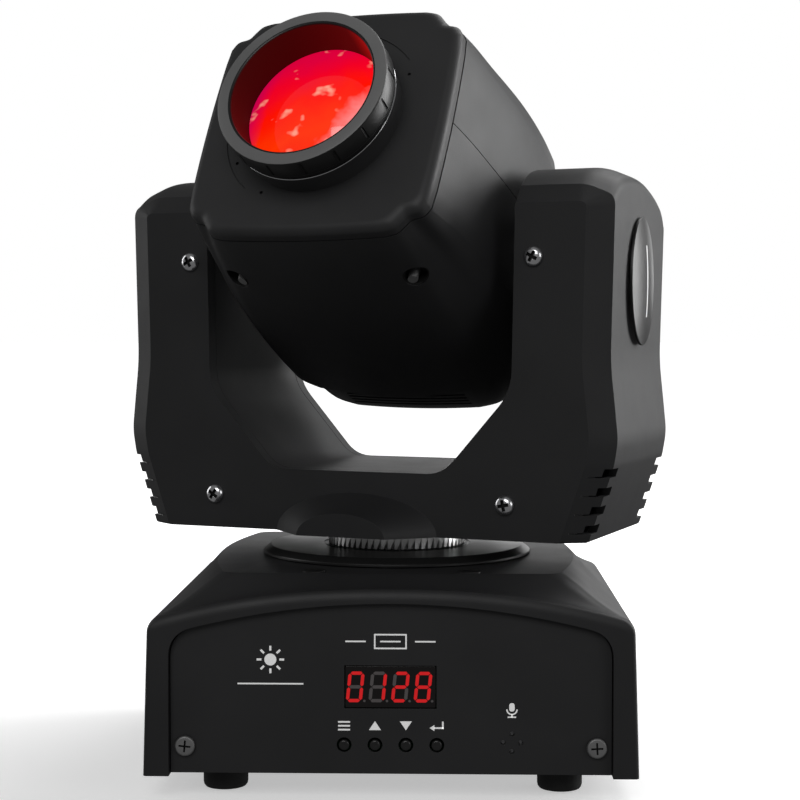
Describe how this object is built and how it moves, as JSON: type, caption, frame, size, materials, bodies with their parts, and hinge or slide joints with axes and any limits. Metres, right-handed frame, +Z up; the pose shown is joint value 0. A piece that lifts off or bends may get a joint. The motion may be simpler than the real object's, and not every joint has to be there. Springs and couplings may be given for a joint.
{
  "type": "moving head light",
  "caption": "Small stage light: a base with a key panel and display, a yoke that pans on it, and a tilting head with a focus ring and lens.",
  "frame": {"origin": "at floor level under the middle of the whole lamp as it stands; the pan axis is 7.8 mm behind it", "axes": "+Z up, parallel to the pan axis, -Y out of the control panel, +X to the right of it; the yoke stands turned 21.5 degrees towards -X and the beam points 28 degrees above level"},
  "size_m": [0.1978, 0.1669, 0.2656],
  "materials": {
    "black_plastic": "fine moulded texture",
    "gloss_black": "polished",
    "black_rubber": "matt",
    "chrome": "bright plated",
    "zinc": "zinc plated",
    "steel": "plain sheet and machined steel",
    "aluminium": "plain",
    "board": "green circuit board with parts",
    "red_lens": "polished, lit red from behind",
    "display": "dark red window, lit segments"
  },
  "bodies": {
    "base": {"base_cover": "black_plastic", "base_plate": "steel", "foot_front_left": "black_rubber", "foot_front_right": "black_rubber", "foot_rear_left": "black_rubber", "foot_rear_right": "black_rubber", "control_panel": "black_plastic", "display_module": "display", "control_board": "board", "microphone": "zinc", "panel_screw_left": "zinc", "panel_screw_right": "zinc", "rear_panel": "black_plastic", "power_inlet": "gloss_black", "signal_input": "zinc", "signal_output": "zinc", "power_supply": "board", "pan_collar": "gloss_black", "pan_gear": "gloss_black", "pan_bearing": "steel"},
    "menu_button": {"button_menu": "gloss_black"},
    "up_button": {"button_up": "gloss_black"},
    "down_button": {"button_down": "gloss_black"},
    "enter_button": {"button_enter": "gloss_black"},
    "yoke": {"yoke_housing": "black_plastic", "yoke_front_cover": "black_plastic", "yoke_rear_cover": "black_plastic", "yoke_bracket": "steel", "pan_motor": "steel", "pan_belt": "black_rubber", "tilt_motor": "steel", "tilt_belt": "black_rubber", "tilt_bearing_left": "steel", "tilt_bearing_right": "steel", "arm_badge_left": "gloss_black", "arm_badge_right": "gloss_black", "cover_screw_upper_left": "chrome", "cover_screw_lower_left": "chrome", "cover_screw_upper_right": "chrome", "cover_screw_lower_right": "chrome"},
    "pan_drive_pinion": {"pan_pinion": "aluminium"},
    "tilt_drive_pinion": {"tilt_pinion": "aluminium"},
    "head": {"tilt_shaft_left": "steel", "tilt_shaft_right": "steel", "tilt_pulley": "aluminium", "head_bracket": "steel", "front_bezel": "black_plastic", "upper_shell": "black_plastic", "lower_shell": "black_plastic", "rear_cap": "black_plastic", "led_module": "aluminium", "heat_sink": "aluminium", "fan_frame": "black_plastic", "colour_motor": "steel", "gobo_motor": "steel"},
    "focus": {"focus_ring": "gloss_black", "front_lens": "red_lens"},
    "fan": {"fan_rotor": "black_plastic"},
    "colour": {"colour_wheel": "aluminium"},
    "gobo": {"gobo_wheel": "steel"}
  },
  "joints": [
    {"name": "pan", "type": "hinge", "parent": "base", "child": "yoke", "pos_m": [0, 0.0078, 0.0915], "axis": [0, 0, 1], "range_deg": [-248.5, 291.5]},
    {"name": "pan_pinion_spin", "type": "hinge", "parent": "yoke", "child": "pan_drive_pinion", "pos_m": [-0.05303, 0.02869, 0.09], "axis": [0, 0, 1], "continuous": true},
    {"name": "tilt", "type": "hinge", "parent": "yoke", "child": "head", "pos_m": [0, 0.0078, 0.1943], "axis": [-0.9304, 0.3665, 0], "range_deg": [-73, 197]},
    {"name": "tilt_pinion_spin", "type": "hinge", "parent": "yoke", "child": "tilt_drive_pinion", "pos_m": [0.06373, -0.01731, 0.1403], "axis": [-0.9304, 0.3665, 0], "continuous": true},
    {"name": "focus_turn", "type": "hinge", "parent": "head", "child": "focus", "pos_m": [-0.02589, -0.05792, 0.23186], "axis": [-0.3236, -0.8215, 0.4695], "range_deg": [-60, 60]},
    {"name": "fan_spin", "type": "hinge", "parent": "head", "child": "fan", "pos_m": [0.01618, 0.04888, 0.17083], "axis": [-0.3236, -0.8215, 0.4695], "continuous": true},
    {"name": "colour_wheel_spin", "type": "hinge", "parent": "head", "child": "colour", "pos_m": [0.01715, 0.00769, 0.20913], "axis": [-0.3236, -0.8215, 0.4695], "continuous": true},
    {"name": "gobo_wheel_spin", "type": "hinge", "parent": "head", "child": "gobo", "pos_m": [-0.01391, 0.01614, 0.21101], "axis": [-0.3236, -0.8215, 0.4695], "continuous": true},
    {"name": "menu_press", "type": "slide", "parent": "base", "child": "menu_button", "axis": [0, 1, 0], "range_m": [0, 0.0004], "stiffness_N_per_m": 2000, "springref_m": -0.0002},
    {"name": "up_press", "type": "slide", "parent": "base", "child": "up_button", "axis": [0, 1, 0], "range_m": [0, 0.0004], "stiffness_N_per_m": 2000, "springref_m": -0.0002},
    {"name": "down_press", "type": "slide", "parent": "base", "child": "down_button", "axis": [0, 1, 0], "range_m": [0, 0.0004], "stiffness_N_per_m": 2000, "springref_m": -0.0002},
    {"name": "enter_press", "type": "slide", "parent": "base", "child": "enter_button", "axis": [0, 1, 0], "range_m": [0, 0.0004], "stiffness_N_per_m": 2000, "springref_m": -0.0002}
  ],
  "couplings": [
    {"joint": "pan_pinion_spin", "follows": "pan", "ratio": -4},
    {"joint": "tilt_pinion_spin", "follows": "tilt", "ratio": 2}
  ]
}
